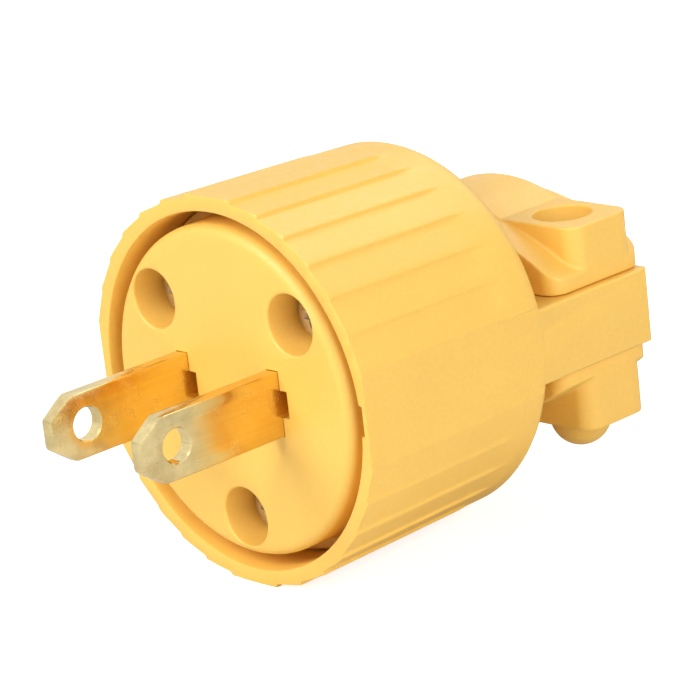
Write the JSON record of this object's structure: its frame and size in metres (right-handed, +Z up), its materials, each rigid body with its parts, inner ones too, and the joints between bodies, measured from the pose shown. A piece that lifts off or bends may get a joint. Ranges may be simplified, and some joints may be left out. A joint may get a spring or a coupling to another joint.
{
  "type": "rewirable two-blade plug",
  "caption": "Round ribbed yellow plug with two flat brass blades, a recessed face held by screws and a saddle clamp for the cord at the back.",
  "frame": {"origin": "middle of the flat front face, between the two blades, where the plug meets a receptacle", "axes": "-Y out of the face along the blades, +Y along the cord's way out, +Z up along the blades' width, +X to the right seen from the front"},
  "size_m": [0.037, 0.0572, 0.0382],
  "materials": {
    "shell_vinyl": "moulded yellow vinyl, soft satin",
    "face_vinyl": "moulded yellow plastic, fine matte face",
    "clamp_vinyl": "moulded yellow vinyl, soft satin",
    "retainer_fibre": "plain moulded insulating plate",
    "blade_brass": "rolled and stamped brass, lightly tarnished",
    "screw_steel": "zinc plated steel",
    "terminal_brass": "brass terminal screw and plate",
    "terminal_silver": "nickel plated terminal screw and plate",
    "insert_brass": "turned brass insert"
  },
  "bodies": {
    "shell": {"outer_shell": "shell_vinyl", "face_insert_left": "insert_brass", "face_insert_right": "insert_brass", "face_insert_bottom": "insert_brass"},
    "face_assembly": {"blade_carrier": "face_vinyl", "blade_retainer": "retainer_fibre", "blade_left": "blade_brass", "blade_right": "blade_brass"},
    "clamp_top": {"clamp_upper": "clamp_vinyl"},
    "clamp_bottom": {"clamp_lower": "clamp_vinyl", "clamp_nut_left": "screw_steel", "clamp_nut_right": "screw_steel"},
    "face_screw_left_body": {"face_screw_left": "screw_steel"},
    "face_screw_right_body": {"face_screw_right": "screw_steel"},
    "face_screw_bottom_body": {"face_screw_bottom": "screw_steel"},
    "wire_plate_left_body": {"wire_plate_left": "terminal_brass"},
    "terminal_screw_left_body": {"terminal_screw_left": "terminal_brass"},
    "wire_plate_right_body": {"wire_plate_right": "terminal_silver"},
    "terminal_screw_right_body": {"terminal_screw_right": "terminal_silver"},
    "clamp_screw_left_body": {"clamp_screw_left": "screw_steel"},
    "clamp_screw_right_body": {"clamp_screw_right": "screw_steel"}
  },
  "joints": [
    {"name": "face_slide", "type": "slide", "parent": "shell", "child": "face_assembly", "axis": [0, -1, 0], "range_m": [0, 0.022]},
    {"name": "face_screw_left_spin", "type": "hinge", "parent": "face_assembly", "child": "face_screw_left_body", "pos_m": [-0.00954, 0.0038, 0.008], "axis": [0, -1, 0], "range_deg": [0, 12474]},
    {"name": "face_screw_right_spin", "type": "hinge", "parent": "face_assembly", "child": "face_screw_right_body", "pos_m": [0.00954, 0.0038, 0.008], "axis": [0, -1, 0], "range_deg": [0, 12474]},
    {"name": "face_screw_bottom_spin", "type": "hinge", "parent": "face_assembly", "child": "face_screw_bottom_body", "pos_m": [0, 0.0038, -0.01245], "axis": [0, -1, 0], "range_deg": [0, 12474]},
    {"name": "terminal_left_slide", "type": "slide", "parent": "face_assembly", "child": "wire_plate_left_body", "axis": [-1, 0, 0], "range_m": [0, 0.002]},
    {"name": "terminal_screw_left_spin", "type": "hinge", "parent": "wire_plate_left_body", "child": "terminal_screw_left_body", "pos_m": [-0.0083, 0.0142, 0], "axis": [-1, 0, 0], "range_deg": [0, 908]},
    {"name": "terminal_right_slide", "type": "slide", "parent": "face_assembly", "child": "wire_plate_right_body", "axis": [1, 0, 0], "range_m": [0, 0.002]},
    {"name": "terminal_screw_right_spin", "type": "hinge", "parent": "wire_plate_right_body", "child": "terminal_screw_right_body", "pos_m": [0.0083, 0.0142, 0], "axis": [1, 0, 0], "range_deg": [0, 908]},
    {"name": "clamp_slide", "type": "slide", "parent": "shell", "child": "clamp_top", "axis": [0, 0, 1], "range_m": [0, 0.003]},
    {"name": "clamp_lower_slide", "type": "slide", "parent": "shell", "child": "clamp_bottom", "axis": [0, 0, -1], "range_m": [0, 0.003]},
    {"name": "clamp_screw_left_spin", "type": "hinge", "parent": "clamp_top", "child": "clamp_screw_left_body", "pos_m": [-0.0117, 0.0349, 0.0066], "axis": [0, 0, 1], "range_deg": [0, 3403]},
    {"name": "clamp_screw_right_spin", "type": "hinge", "parent": "clamp_top", "child": "clamp_screw_right_body", "pos_m": [0.0117, 0.0349, 0.0066], "axis": [0, 0, 1], "range_deg": [0, 3403]}
  ],
  "couplings": [
    {"joint": "face_screw_left_spin", "follows": "face_slide", "rad_per_m": 9894.8},
    {"joint": "face_screw_right_spin", "follows": "face_slide", "rad_per_m": 9894.8},
    {"joint": "face_screw_bottom_spin", "follows": "face_slide", "rad_per_m": 9894.8},
    {"joint": "terminal_screw_left_spin", "follows": "terminal_left_slide", "rad_per_m": 7913.3},
    {"joint": "terminal_screw_right_spin", "follows": "terminal_right_slide", "rad_per_m": 7913.3},
    {"joint": "clamp_lower_slide", "follows": "clamp_slide", "ratio": 1},
    {"joint": "clamp_screw_left_spin", "follows": "clamp_slide", "rad_per_m": 19790},
    {"joint": "clamp_screw_right_spin", "follows": "clamp_slide", "rad_per_m": 19790}
  ]
}
